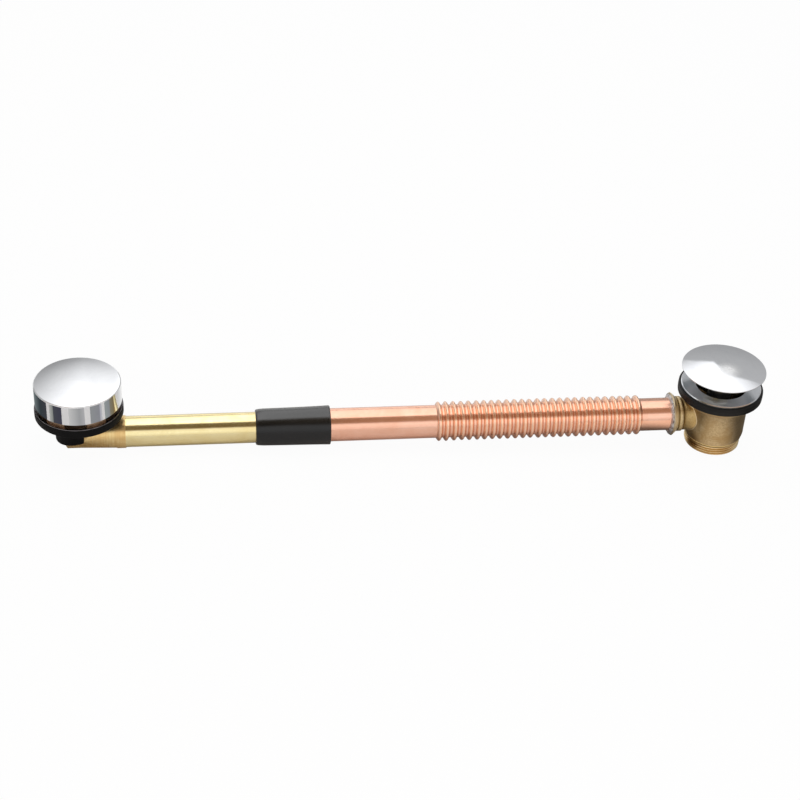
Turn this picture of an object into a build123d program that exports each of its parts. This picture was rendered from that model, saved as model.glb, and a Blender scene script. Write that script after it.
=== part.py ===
"""Bath waste and overflow set: a click-clack waste and an overflow head on one horizontal drain pipe.

Millimetres. The origin is the middle of the waste tail's open end, +Z is up and the pipe runs along -X
from the waste to the overflow head. Pipe pieces are turned about +Z, where Z is the distance from the
waste axis, and are then laid along the pipe.
"""

from build123d import *
import os

# Pipe line
head_spacing = 542.0
pipe_height = 29.0
copper_diameter = 28.0
copper_wall = 0.9
brass_wall = 1.2
slip_clearance = 0.1
slip_overlap = 20.0

# Corrugated stretch of the copper tube, measured from the waste axis
corrugation_start = 68.2
corrugation_count = 27
corrugation_pitch = 6.6
crest_height = 3.5
crest_width = 2.2
flank_run = 1.0
flank_skin = 0.63

# Rubber sleeve over the slip joint
sleeve_start = 335.2
sleeve_length = 62.6
sleeve_wall = 2.8
sleeve_end_wall = 2.4
copper_in_sleeve = 32.0
sleeve_edge = 0.8

# Waste body casting
tail_diameter = 47.8
tail_length = 8.0
tail_wall = 3.6
tail_chamfer = 0.8
relief_width = 1.3
relief_depth = 0.8
body_step = 1.6
body_wall = 4.0
seat_rise = 21.4
body_foot_height = 7.0
foot_bulge_out = 0.75
foot_bulge_up = 0.4
seat_width = 7.5
seat_thickness = 2.5
seat_flare_height = 6.5
socket_thread_depth = 7.4

# Branch of the waste body
branch_face = 41.6
branch_socket_depth = 5.6
branch_stop = 1.8
neck_wall = 0.1
branch_ring_wall = 1.1
branch_ring_width = 3.0
branch_groove_width = 1.3
branch_groove_depth = 0.4
collar_wall = 4.5
collar_edge_width = 0.9
collar_bevel = 0.5
collar_slope = 3.8
branch_blend = 0.9
solder_width = 2.2
solder_height = 3.4
solder_belly = 0.6

# Waste flange and washer
washer_diameter = 72.4
washer_thickness = 7.3
washer_clearance = 0.4
washer_edge = 0.6
rim_inset = 2.1
rim_thickness = 1.4
rim_bevel = 0.6
dish_depth = 0.8
spigot_wall = 2.9
lip_width = 1.4
lip_radius = 1.1
spigot_length = 14.2
bridge_height = 4.0
bridge_arm_width = 5.0
bridge_arm_count = 3
hub_wall = 3.0

# Click cartridge
cartridge_diameter = 16.0
cartridge_wall = 1.4
cartridge_floor = 2.0
cartridge_drop = 29.5
cartridge_collar_height = 3.5
cartridge_collar_flats = 19.0
barrel_step = 1.0
barrel_height = 4.0
drain_hole_diameter = 4.0
stem_diameter = 8.0
bush_length = 4.0
stem_clearance = 0.05
head_clearance = 0.3
head_length = 4.0
rotor_length = 5.0
tooth_count = 4
tooth_height = 1.5
tooth_side = 2.1
spring_wire = 1.1
spring_turns = 6
spring_side_gap = 0.6
spring_end_spread = 0.1

# Plug
plug_lift = 15.9
plug_travel = 13.0
plug_inset = 0.5
plug_rim = 0.7
plug_dome = 3.5
plug_edge = 0.25
plug_step_height = 1.0
plug_boss_diameter = 13.0
boss_gap = 1.0
seal_diameter = 52.0
seal_gap = 0.3
seal_nut_flats = 20.0
stem_end_gap = 0.5

# Overflow elbow
elbow_reach = 36.9
elbow_step = 0.25
elbow_taper = 0.9
elbow_collar_width = 7.4
elbow_collar_step = 0.4
elbow_spigot_length = 11.0
elbow_spigot_wall = 1.5
elbow_flange_width = 5.3
elbow_flange_thickness = 4.0
elbow_height = 21.6
elbow_corner = 4.1
mouth_thread_depth = 13.0
mouth_thread_step = 1.0

# Overflow gasket with its half collar
gasket_diameter = 72.4
gasket_thickness = 7.3
gasket_clearance = 0.3
gasket_edge = 0.6
collar_skin = 2.0
collar_edge_x = 3.4
collar_front_drop = 17.3
collar_fall = 0.27

# Overflow insert
insert_rim_inset = 0.4
insert_plate = 0.6
insert_sleeve_length = 11.0
insert_sleeve_wall = 2.2
insert_key_width = 4.0
insert_key_depth = 3.0
castle_wall = 3.7
window_count = 6
window_angle = 31.0
window_turn = 92.5
window_height = 7.0
o_ring_cord = 2.4
o_ring_groove_gap = 0.4
o_ring_drop = 6.0

# Overflow cap
cap_inset = 0.9
cap_wall = 1.8
cap_clearance = 0.3
cap_gap = 4.6
cap_height = 17.9
cap_top = 2.0
cap_dome = 1.6
cap_edge = 1.0

# Radii that follow from the sizes above
copper_radius = copper_diameter / 2
copper_bore = copper_radius - copper_wall
brass_radius = copper_bore - slip_clearance
brass_bore = brass_radius - brass_wall
tail_radius = tail_diameter / 2
body_radius = tail_radius + body_step
chamber_radius = body_radius - body_wall
spigot_radius = tail_radius
spigot_bore = spigot_radius - spigot_wall
washer_radius = washer_diameter / 2
rim_radius = washer_radius - rim_inset
plug_radius = washer_radius - plug_inset
cartridge_radius = cartridge_diameter / 2
cartridge_bore = cartridge_radius - cartridge_wall
stem_radius = stem_diameter / 2
head_radius = cartridge_bore - head_clearance
elbow_radius = brass_radius + elbow_step
elbow_bore = brass_bore - elbow_spigot_wall
mouth_radius = elbow_bore + mouth_thread_step
elbow_flange_radius = elbow_radius + elbow_flange_width
gasket_radius = gasket_diameter / 2
cap_radius = gasket_radius - cap_inset
cap_bore = cap_radius - cap_wall
castle_radius = cap_bore - cap_clearance
insert_bore = mouth_radius - insert_sleeve_wall

# Stations along the pipe, from the waste axis
copper_start = branch_face - branch_socket_depth
copper_end = sleeve_start + copper_in_sleeve
sleeve_end = sleeve_start + sleeve_length
brass_start = copper_end - slip_overlap
brass_end = head_spacing - elbow_reach

# Heights of the waste
body_height = pipe_height + seat_rise
washer_top = body_height + washer_thickness
rim_top = washer_top + rim_thickness
spigot_low = washer_top - spigot_length
hub_top = spigot_low + bridge_height
barrel_low = hub_top + cartridge_collar_height
barrel_top = barrel_low + barrel_height
cartridge_low = spigot_low - cartridge_drop
spring_low = cartridge_low + cartridge_floor
head_top = barrel_top - bush_length
head_low = head_top - head_length
rotor_low = head_low - rotor_length
plug_low = rim_top + plug_lift
plug_step_low = plug_low - plug_step_height
boss_low = barrel_top + plug_travel + boss_gap
lip_edge = spigot_bore + lip_width
seat_slope = dish_depth / (rim_radius - rim_bevel - lip_edge)
seal_seat = rim_top - dish_depth + seat_slope * (seal_diameter / 2 - lip_edge)
seal_low = seal_seat + plug_travel + seal_gap

# Heights of the overflow head
elbow_top = pipe_height + elbow_height
gasket_top = elbow_top + gasket_thickness
plate_top = gasket_top + insert_plate
cap_low = plate_top + cap_gap
cap_shoulder = cap_low + cap_height
castle_top = cap_shoulder - cap_top
o_ring_height = castle_top - o_ring_drop


def turned(outline):
    """A solid turned about Z from an outline of radius and height."""
    return revolve(Plane.XZ * make_face(outline), Axis.Z)


def turned_points(*points):
    return turned(Polyline(*points, close=True))


def ring(bore, radius, low, high):
    return turned_points((bore, low), (radius, low), (radius, high), (bore, high))


def disc(radius, low, high):
    return Pos(0, 0, low) * Cylinder(radius, high - low, align=(Align.CENTER, Align.CENTER, Align.MIN))


def hexagon(flats, low, high):
    return Pos(0, 0, low) * extrude(RegularPolygon(flats / 2, 6, major_radius=False), high - low)


def along_pipe(shape):
    """Lays a piece that was turned about Z along the pipe, with Z as the distance from the waste axis."""
    return Pos(0, 0, pipe_height) * Rot(0, -90, 0) * shape


def at_overflow(shape):
    return Pos(-head_spacing, 0, 0) * shape


def dome_arc(radius, height, rise):
    """A round dome's outline, from its edge to its top on the axis."""
    sphere = (radius**2 + rise**2) / (2 * rise)
    half_way = radius / 2
    half_height = height + rise - sphere + (sphere**2 - half_way**2) ** 0.5
    return ThreePointArc((radius, height), (half_way, half_height), (0, height + rise))


def circles_at(shape, height, radius):
    """The round edges of a turned piece at one height and radius."""
    edges = shape.edges().filter_by(GeomType.CIRCLE)
    return [e for e in edges if abs(e.radius - radius) < 1e-4 and abs(e.center().Z - height) < 1e-4]


def waste_body():
    """One casting: a threaded tail, a round chamber, a wide washer seat and the pipe branch."""
    relief_top = tail_length + relief_width
    foot_top = relief_top + body_foot_height
    relief_radius = tail_radius - relief_depth
    seat_low = body_height - seat_thickness
    barrel = Polyline(
        (body_radius, foot_top),
        (body_radius, seat_low - seat_flare_height),
        (body_radius + seat_width, seat_low),
        (body_radius + seat_width, body_height),
        (0, body_height),
        (0, 0),
        (tail_radius - tail_chamfer, 0),
        (tail_radius, tail_chamfer),
        (tail_radius, tail_length),
        (relief_radius, tail_length),
        (relief_radius, relief_top),
        (tail_radius, relief_top),
    )
    foot_bulge = (tail_radius + body_step * foot_bulge_out, relief_top + body_foot_height * foot_bulge_up)
    foot = ThreePointArc((tail_radius, relief_top), foot_bulge, (body_radius, foot_top))
    casting = turned(barrel + foot) + along_pipe(branch())
    joint_edges = [e for e in casting.edges() if e.geom_type not in (GeomType.CIRCLE, GeomType.LINE)]
    casting = fillet(joint_edges, branch_blend)
    chamber_top = body_height - socket_thread_depth
    chamber_low = tail_length + relief_width
    tail_bore = tail_radius - tail_wall
    waterway = turned_points(
        (0, 0),
        (tail_bore, 0),
        (tail_bore, chamber_low),
        (chamber_radius, chamber_low + body_step),
        (chamber_radius, chamber_top),
        (spigot_radius, chamber_top),
        (spigot_radius, body_height),
        (0, body_height),
    )
    branch_bore = disc(copper_radius - branch_stop, 0, branch_face)
    socket = disc(copper_radius, copper_start, branch_face)
    return casting - waterway - along_pipe(branch_bore + socket)


def branch():
    """The branch's outside: a plain neck, a ring between two grooves and a flared collar at the mouth."""
    neck = copper_radius + neck_wall
    ring_radius = copper_radius + branch_ring_wall
    collar = copper_radius + collar_wall
    slope_start = branch_face - collar_edge_width - collar_slope
    ring_high = slope_start - branch_groove_width
    ring_low = ring_high - branch_ring_width
    neck_high = ring_low - branch_groove_width
    return turned_points(
        (0, 0),
        (neck, 0),
        (neck, neck_high),
        (neck - branch_groove_depth, neck_high),
        (neck - branch_groove_depth, ring_low),
        (ring_radius, ring_low),
        (ring_radius, ring_high),
        (ring_radius - branch_groove_depth, ring_high),
        (ring_radius - branch_groove_depth, slope_start),
        (ring_radius, slope_start),
        (collar, branch_face - collar_edge_width),
        (collar - collar_bevel, branch_face),
        (0, branch_face),
    )


def branch_solder():
    """The solder fillet round the copper tube on the branch's mouth."""
    return along_pipe(
        turned_points(
            (copper_radius, branch_face),
            (copper_radius + solder_height, branch_face),
            (copper_radius + solder_height * solder_belly, branch_face + solder_width * solder_belly),
            (copper_radius, branch_face + solder_width),
        )
    )


def copper_tube():
    """One tube with ring corrugations pressed out of its wall, so the bore follows the outside."""
    root_width = corrugation_pitch - crest_width - 2 * flank_run
    outside = [(copper_radius, copper_start)]
    inside = [(copper_bore, copper_start)]
    for index in range(corrugation_count):
        foot = corrugation_start + index * corrugation_pitch + root_width / 2
        crest = foot + flank_run
        crest_end = crest + crest_width
        outside += [
            (copper_radius, foot),
            (copper_radius + crest_height, crest),
            (copper_radius + crest_height, crest_end),
            (copper_radius, crest_end + flank_run),
        ]
        inside += [
            (copper_bore, foot + flank_skin),
            (copper_bore + crest_height, (crest + crest_end) / 2),
            (copper_bore, crest_end + flank_run - flank_skin),
        ]
    outside.append((copper_radius, copper_end))
    inside.append((copper_bore, copper_end))
    return along_pipe(turned_points(*outside, *reversed(inside)))


def brass_tube():
    return along_pipe(ring(brass_bore, brass_radius, brass_start, brass_end))


def rubber_sleeve():
    """A tapering rubber sleeve that grips both tubes, stepped inside where the copper tube ends."""
    sleeve = turned_points(
        (copper_radius, sleeve_start),
        (copper_radius + sleeve_wall, sleeve_start),
        (brass_radius + sleeve_end_wall, sleeve_end),
        (brass_radius, sleeve_end),
        (brass_radius, copper_end),
        (copper_radius, copper_end),
    )
    edges = circles_at(sleeve, sleeve_start, copper_radius + sleeve_wall)
    edges += circles_at(sleeve, sleeve_end, brass_radius + sleeve_end_wall)
    return along_pipe(chamfer(edges, sleeve_edge))


def waste_washer():
    washer = ring(spigot_radius + washer_clearance, washer_radius, body_height, washer_top)
    edges = circles_at(washer, body_height, washer_radius) + circles_at(washer, washer_top, washer_radius)
    return chamfer(edges, washer_edge)


def waste_flange():
    """A dished rim on a threaded spigot, with an armed bridge that carries the cartridge."""
    dish_low = rim_top - dish_depth
    rim = turned_points(
        (spigot_bore, spigot_low),
        (spigot_radius, spigot_low),
        (spigot_radius, washer_top),
        (rim_radius, washer_top),
        (rim_radius, rim_top - rim_bevel),
        (rim_radius - rim_bevel, rim_top),
        (lip_edge, dish_low),
        (spigot_bore, dish_low),
    )
    rim = fillet(circles_at(rim, dish_low, spigot_bore), lip_radius)
    arm = Pos(spigot_bore / 2, 0, spigot_low + bridge_height / 2)
    arm *= Box(spigot_bore + spigot_wall, bridge_arm_width, bridge_height)
    arms = [Rot(0, 0, index * 360 / bridge_arm_count) * arm for index in range(bridge_arm_count)]
    bridge = disc(cartridge_radius + hub_wall, spigot_low, hub_top) + arms
    bridge &= disc(spigot_radius, spigot_low, hub_top)
    return rim + bridge - disc(cartridge_radius, spigot_low, hub_top)


def cartridge_housing():
    """A threaded cup screwed into the bridge, with a hexagon to turn it by and a hole to drain it."""
    barrel_radius = cartridge_radius + barrel_step
    outside = disc(cartridge_radius, cartridge_low, hub_top)
    outside += hexagon(cartridge_collar_flats, hub_top, barrel_low)
    outside += disc(barrel_radius, barrel_low, barrel_top)
    bore = disc(cartridge_bore, spring_low, barrel_top)
    return outside - bore - disc(drain_hole_diameter / 2, cartridge_low, spring_low)


def cartridge_bush():
    return ring(stem_radius + stem_clearance, cartridge_bore, head_top, barrel_top)


def click_rotor():
    """The turning cam under the stem, with a crown of sloping teeth on its upper face."""
    top = head_low + tooth_height
    rotor = disc(head_radius, rotor_low, top)
    notch = Pos(head_radius / 2, 0, top) * Rot(45, 0, 0) * Box(head_radius * 2, tooth_side, tooth_side)
    for index in range(tooth_count):
        rotor -= Rot(0, 0, index * 360 / tooth_count) * notch
    return rotor


def plug_stem():
    """The push stem, with a toothed head that sits in the rotor's crown."""
    head = disc(head_radius, head_low, head_top) - click_rotor()
    return head + disc(stem_radius, head_top, plug_low - stem_end_gap)


def click_spring():
    """A compression spring with closed flat ends between the cup's floor and the rotor."""
    radius = head_radius - spring_side_gap - spring_wire / 2
    height = rotor_low - spring_low - spring_wire
    coil = Helix(height / spring_turns, height, radius)
    section = Plane(coil @ 0, z_dir=coil % 0) * Rectangle(spring_wire, spring_wire)
    turns = Pos(0, 0, spring_low + spring_wire / 2) * sweep(section, path=coil, is_frenet=True)
    end_half = spring_wire / 2 + spring_end_spread
    low_end = ring(radius - end_half, radius + end_half, spring_low, spring_low + spring_wire)
    high_end = Pos(0, 0, rotor_low - spring_wire - spring_low) * low_end
    return turns + low_end + high_end


def plug_cap():
    """A shallow dome with a thin rim, a step for the seal and a threaded boss for the stem."""
    dome_low = plug_low + plug_rim
    boss = plug_boss_diameter / 2
    under = Polyline(
        (0, dome_low + plug_dome),
        (0, plug_low - stem_end_gap),
        (stem_radius, plug_low - stem_end_gap),
        (stem_radius, boss_low),
        (boss, boss_low),
        (boss, plug_step_low),
        (seal_diameter / 2, plug_step_low),
        (seal_diameter / 2, plug_low),
        (plug_radius, plug_low),
        (plug_radius, dome_low),
    )
    plug = turned(under + dome_arc(plug_radius, dome_low, plug_dome))
    edges = circles_at(plug, plug_low, plug_radius) + circles_at(plug, dome_low, plug_radius)
    return fillet(edges, plug_edge)


def plug_seal():
    return ring(plug_boss_diameter / 2, seal_diameter / 2, seal_low, plug_step_low)


def seal_nut():
    return hexagon(seal_nut_flats, boss_low, seal_low) - disc(plug_boss_diameter / 2, boss_low, seal_low)


def elbow_outside():
    """A round upright and a tapering leg that meet in a blunted corner, under a round mouth flange."""
    closed_radius = elbow_radius - elbow_taper
    leg_length = elbow_reach - elbow_collar_width
    down = Cylinder(elbow_radius, 2 * elbow_radius)
    across = Rot(0, 90, 0) * Cylinder(closed_radius, 2 * elbow_radius)
    corner = down & across & Sphere(closed_radius + elbow_corner)
    upright = disc(elbow_radius, 0, elbow_height)
    leg = Rot(0, 90, 0) * Pos(0, 0, leg_length / 2) * Cone(closed_radius, elbow_radius, leg_length)
    collar_radius = elbow_radius + elbow_collar_step
    collar = Rot(0, 90, 0) * disc(collar_radius, leg_length, elbow_reach)
    spigot = Rot(0, 90, 0) * disc(brass_bore, elbow_reach, elbow_reach + elbow_spigot_length)
    flange = disc(elbow_flange_radius, elbow_height - elbow_flange_thickness, elbow_height)
    return corner + upright + leg + collar + spigot + flange


def overflow_elbow():
    bore = Sphere(elbow_bore) + disc(elbow_bore, 0, elbow_height)
    bore += Rot(0, 90, 0) * disc(elbow_bore, 0, elbow_reach + elbow_spigot_length)
    thread = disc(mouth_radius, elbow_height - mouth_thread_depth, elbow_height)
    return at_overflow(Pos(0, 0, pipe_height) * (elbow_outside() - bore - thread))


def overflow_gasket():
    """A thick ring with a half collar that clips over the elbow's flange on the side away from the pipe."""
    pad = ring(mouth_radius + gasket_clearance, gasket_radius, elbow_height, elbow_height + gasket_thickness)
    edges = circles_at(pad, elbow_height, gasket_radius)
    edges += circles_at(pad, elbow_height + gasket_thickness, gasket_radius)
    pad = chamfer(edges, gasket_edge)
    collar_radius = elbow_flange_radius + collar_skin
    drop = elbow_height - collar_front_drop
    reach = collar_radius + collar_edge_x
    side = Polyline(
        (collar_edge_x, elbow_height),
        (collar_edge_x, drop),
        (-collar_radius, drop - reach * collar_fall),
        (-collar_radius, elbow_height),
        close=True,
    )
    wedge = extrude(Plane.XZ * make_face(side), collar_radius, both=True)
    collar = wedge & Cylinder(collar_radius, 4 * elbow_height)
    return at_overflow(Pos(0, 0, pipe_height) * (pad + (collar - elbow_outside())))


def overflow_insert():
    """A hollow screw that clamps the gasket, with a round of windows under a ring that carries the cap."""
    rim = gasket_radius - insert_rim_inset
    sleeve_low = elbow_top - insert_sleeve_length
    groove_bottom = cap_bore - o_ring_cord
    groove_half = o_ring_cord / 2 + o_ring_groove_gap
    castle_bore = castle_radius - castle_wall
    insert = turned_points(
        (insert_bore, sleeve_low),
        (mouth_radius, sleeve_low),
        (mouth_radius, gasket_top),
        (rim, gasket_top),
        (rim, plate_top),
        (castle_radius, plate_top),
        (castle_radius, o_ring_height - groove_half),
        (groove_bottom, o_ring_height - groove_half),
        (groove_bottom, o_ring_height + groove_half),
        (castle_radius, o_ring_height + groove_half),
        (castle_radius, castle_top),
        (castle_bore, castle_top),
        (castle_bore, plate_top),
        (insert_bore, plate_top),
    )
    window = Pos(0, 0, plate_top) * extrude(sector(2 * castle_radius, window_angle), window_height)
    window -= disc(mouth_radius, plate_top, plate_top + window_height)
    for index in range(window_count):
        insert -= Rot(0, 0, index * 360 / window_count - window_turn) * window
    key = Box(2 * mouth_radius, insert_key_width, insert_key_depth)
    key &= Cylinder((insert_bore + mouth_radius) / 2, insert_key_depth)
    for turn in (0, 90):
        insert -= Pos(0, 0, plate_top - insert_key_depth / 2) * Rot(0, 0, turn) * key
    return at_overflow(insert)


def sector(radius, angle):
    """A flat wedge of a disc, centred on the X axis."""
    half = radius * sin_of(angle / 2)
    reach = radius * cos_of(angle / 2)
    return make_face(Polyline((0, 0), (reach, -half), (reach, half), close=True))


def sin_of(degrees):
    return Vector(1, 0, 0).rotate(Axis.Z, degrees).Y


def cos_of(degrees):
    return Vector(1, 0, 0).rotate(Axis.Z, degrees).X


def cap_o_ring():
    groove_bottom = cap_bore - o_ring_cord
    return at_overflow(Pos(0, 0, o_ring_height) * Torus(groove_bottom + o_ring_cord / 2, o_ring_cord / 2))


def overflow_cap():
    outline = Polyline(
        (0, cap_shoulder + cap_dome),
        (0, castle_top),
        (cap_bore, castle_top),
        (cap_bore, cap_low),
        (cap_radius, cap_low),
        (cap_radius, cap_shoulder),
    )
    cap = turned(outline + dome_arc(cap_radius, cap_shoulder, cap_dome))
    return at_overflow(fillet(circles_at(cap, cap_shoulder, cap_radius), cap_edge))


pieces = (
    waste_body,
    branch_solder,
    copper_tube,
    rubber_sleeve,
    brass_tube,
    waste_washer,
    waste_flange,
    cartridge_housing,
    cartridge_bush,
    click_rotor,
    click_spring,
    plug_stem,
    plug_cap,
    plug_seal,
    seal_nut,
    overflow_elbow,
    overflow_gasket,
    overflow_insert,
    cap_o_ring,
    overflow_cap,
)

os.makedirs("parts", exist_ok=True)
for piece in pieces:
    export_step(piece(), f"parts/{piece.__name__}.step")
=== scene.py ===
"""Looks of the bath waste and overflow set: metals, rubbers, corrugated tube, tail thread and studio.

Metres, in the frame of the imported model: the origin is the middle of the tail's open end, +Z is up and the
pipe runs along -X to the overflow head.
"""

import bpy
import bmesh
import numpy as np
from mathutils import Matrix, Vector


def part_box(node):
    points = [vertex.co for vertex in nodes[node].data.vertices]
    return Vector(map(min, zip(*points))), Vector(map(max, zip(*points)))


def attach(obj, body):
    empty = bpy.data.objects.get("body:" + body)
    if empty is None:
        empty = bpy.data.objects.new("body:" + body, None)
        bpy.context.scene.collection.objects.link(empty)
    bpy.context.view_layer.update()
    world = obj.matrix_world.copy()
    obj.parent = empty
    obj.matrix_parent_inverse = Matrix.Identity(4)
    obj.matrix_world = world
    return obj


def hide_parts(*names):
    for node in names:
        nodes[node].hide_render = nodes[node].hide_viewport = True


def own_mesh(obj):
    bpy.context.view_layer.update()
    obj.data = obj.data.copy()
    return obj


MM = 0.001

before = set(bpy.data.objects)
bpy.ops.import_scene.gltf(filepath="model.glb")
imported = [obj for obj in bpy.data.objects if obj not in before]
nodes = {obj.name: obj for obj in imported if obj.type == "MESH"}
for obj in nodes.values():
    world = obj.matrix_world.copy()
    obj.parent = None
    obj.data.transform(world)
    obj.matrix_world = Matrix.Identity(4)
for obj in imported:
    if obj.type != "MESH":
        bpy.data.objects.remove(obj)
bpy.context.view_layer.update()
chance = np.random.default_rng(28)

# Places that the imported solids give
copper_low, copper_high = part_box("copper_tube")
brass_low, brass_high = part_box("brass_tube")
elbow_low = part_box("overflow_elbow")[0]
cap_low, cap_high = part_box("overflow_cap")
sleeve_low, sleeve_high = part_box("rubber_sleeve")
washer_low, washer_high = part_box("waste_washer")
solder_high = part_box("branch_solder")[1]
spring_low, spring_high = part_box("click_spring")
plug_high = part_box("plug_cap")[1]
pipe_z = (brass_low[2] + brass_high[2]) / 2
head_x = (cap_low[0] + cap_high[0]) / 2
cap_radius = (cap_high[0] - cap_low[0]) / 2
plug_rim_low = plug_high[2] - 4.2 * MM

# Corrugations of the copper tube
tube_radius = 14.0 * MM
tube_wall = 0.9 * MM
fin_first = 71.5 * MM
fin_pitch = 6.6 * MM
fin_count = 27
fin_half = 2.4 * MM
fin_height = (copper_high[2] - copper_low[2]) / 2 - tube_radius

# Thread of the tail, standard inch pipe thread with 11 turns to the inch
thread_radius = 23.9 * MM
thread_pitch = 25.4 / 11 * MM
thread_depth = 0.6403 * thread_pitch
thread_length = 8.0 * MM
thread_run_in = 1.6 * MM

# Bead round the barrel's foot
foot_radius = 24.1 * MM
foot_height = 9.85 * MM
foot_bead = 0.5 * MM

# Neck of the branch
neck_radius = 14.1 * MM


def turns(count):
    """Evenly spaced angles once round, without the repeated last one."""
    return np.linspace(0, 2 * np.pi, count, endpoint=False)


def ring_quads(rows, columns, close_rows=True):
    """Quads of a grid whose columns close into a ring and whose rows close as well unless told otherwise."""
    row = np.arange(rows if close_rows else rows - 1)[:, None]
    column = np.arange(columns)[None, :]
    next_row = (row + 1) % rows
    next_column = (column + 1) % columns
    corners = (row * columns + column, row * columns + next_column,
               next_row * columns + next_column, next_row * columns + column)
    return np.stack(np.broadcast_arrays(*corners), axis=-1).reshape(-1, 4)


def solid_object(name, points, quads):
    """A mesh object from whole arrays; quads that enclose a negative volume are turned round."""
    points = points.reshape(-1, 3)
    a, b, c, d = (points[quads[:, corner]] for corner in range(4))
    volume = np.sum(np.cross(a, b) * c) + np.sum(np.cross(a, c) * d)
    if volume < 0:
        quads = quads[:, ::-1]
    mesh = bpy.data.meshes.new(name)
    mesh.from_pydata(points.tolist(), [], quads.tolist())
    smooth_faces(mesh)
    return link_object(name, mesh)


def link_object(name, mesh):
    piece = bpy.data.objects.new(name, mesh)
    bpy.context.scene.collection.objects.link(piece)
    return piece


def stand_for(piece, node):
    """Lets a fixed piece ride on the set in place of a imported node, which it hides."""
    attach(piece, "drain_set")
    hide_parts(node)
    return piece


def smooth_faces(mesh):
    mesh.polygons.foreach_set("use_smooth", np.ones(len(mesh.polygons), bool))


def join_doubles(mesh, distance):
    """Joins the points of a mesh that lie closer than the distance."""
    work = bmesh.new()
    work.from_mesh(mesh)
    bmesh.ops.remove_doubles(work, verts=work.verts, dist=distance)
    work.to_mesh(mesh)
    work.free()


def about_pipe(station, radius, turn):
    """Points round the pipe: the station runs from the waste axis along -X, the turn starts at the top."""
    station, radius, turn = np.broadcast_arrays(station, radius, turn)
    return np.stack([-station, radius * np.sin(turn), pipe_z + radius * np.cos(turn)], axis=-1)


def about_waste(radius, turn, height):
    """Points round the waste axis, which is the Z axis of the frame."""
    radius, turn, height = np.broadcast_arrays(radius, turn, height)
    return np.stack([radius * np.cos(turn), radius * np.sin(turn), height], axis=-1)


def rounded_section(corners, radius, steps=5):
    """A closed outline with every corner rounded by a curve that meets its two sides at the radius.

    Each corner becomes the points (1-t)^2 P + 2t(1-t) C + t^2 N, where P and N lie on its two sides at the
    radius from the corner C.
    """
    corners = np.asarray(corners, float)
    before = np.roll(corners, 1, axis=0) - corners
    after = np.roll(corners, -1, axis=0) - corners
    before *= radius / np.linalg.norm(before, axis=1, keepdims=True)
    after *= radius / np.linalg.norm(after, axis=1, keepdims=True)
    step = np.linspace(0, 1, steps)[None, :, None]
    start = (corners + before)[:, None, :]
    end = (corners + after)[:, None, :]
    middle = corners[:, None, :]
    curve = (1 - step) ** 2 * start + 2 * step * (1 - step) * middle + step**2 * end
    return curve.reshape(-1, 2)


def corrugated_tube():
    """The copper tube: radius = tube + height * fin, where a fin is the upper half of a cosine wave.

    Each ring stands a little off its place, leans a little and varies in height, as pressed rings do. The
    bore follows the outside one wall deeper, with narrower fins, and both ends close between the two.
    """
    columns = 96
    place = fin_first + fin_pitch * np.arange(fin_count) + chance.normal(0, 0.10, fin_count) * MM
    height = fin_height * (0.84 - np.abs(chance.normal(0, 0.035, fin_count)))
    lean = chance.normal(0, 0.12, fin_count) * MM
    lean_turn = chance.uniform(0, 2 * np.pi, fin_count)
    fins_end = fin_first + fin_pitch * fin_count
    fine = np.linspace(fin_first - fin_pitch / 2, fins_end - fin_pitch / 2, fin_count * 18 + 1)
    ends = np.array([-copper_high[0], -copper_high[0] + 0.3 * MM])
    far_ends = np.array([-copper_low[0] - 0.3 * MM, -copper_low[0]])
    plain = np.linspace(fins_end + 2 * MM, far_ends[0] - 2 * MM, 6)
    station = np.concatenate([ends, [fine[0] - 12 * MM], fine, plain, far_ends])[:, None]
    turn = turns(columns)[None, :]

    def fins(half_width):
        centre = place[:, None, None] + lean[:, None, None] * np.cos(turn - lean_turn[:, None, None])
        offset = np.clip(np.abs(station - centre) / half_width, 0, 1)
        return np.sum(height[:, None, None] * (0.5 + 0.5 * np.cos(np.pi * offset)) ** 0.5, axis=0)

    outside = about_pipe(station, tube_radius + fins(fin_half), turn)
    inside = about_pipe(station, tube_radius - tube_wall + fins(fin_half - 0.6 * MM) * 0.97, turn)
    points = np.concatenate([outside, inside[::-1]])
    piece = solid_object("corrugated_copper", points, ring_quads(len(points), columns))
    return stand_for(piece, "copper_tube")


def merged_copy(node, name):
    """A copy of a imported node's mesh with its loose triangles joined."""
    mesh = nodes[node].data.copy()
    join_doubles(mesh, 0.002 * MM)
    mesh.name = name
    return mesh


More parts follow.
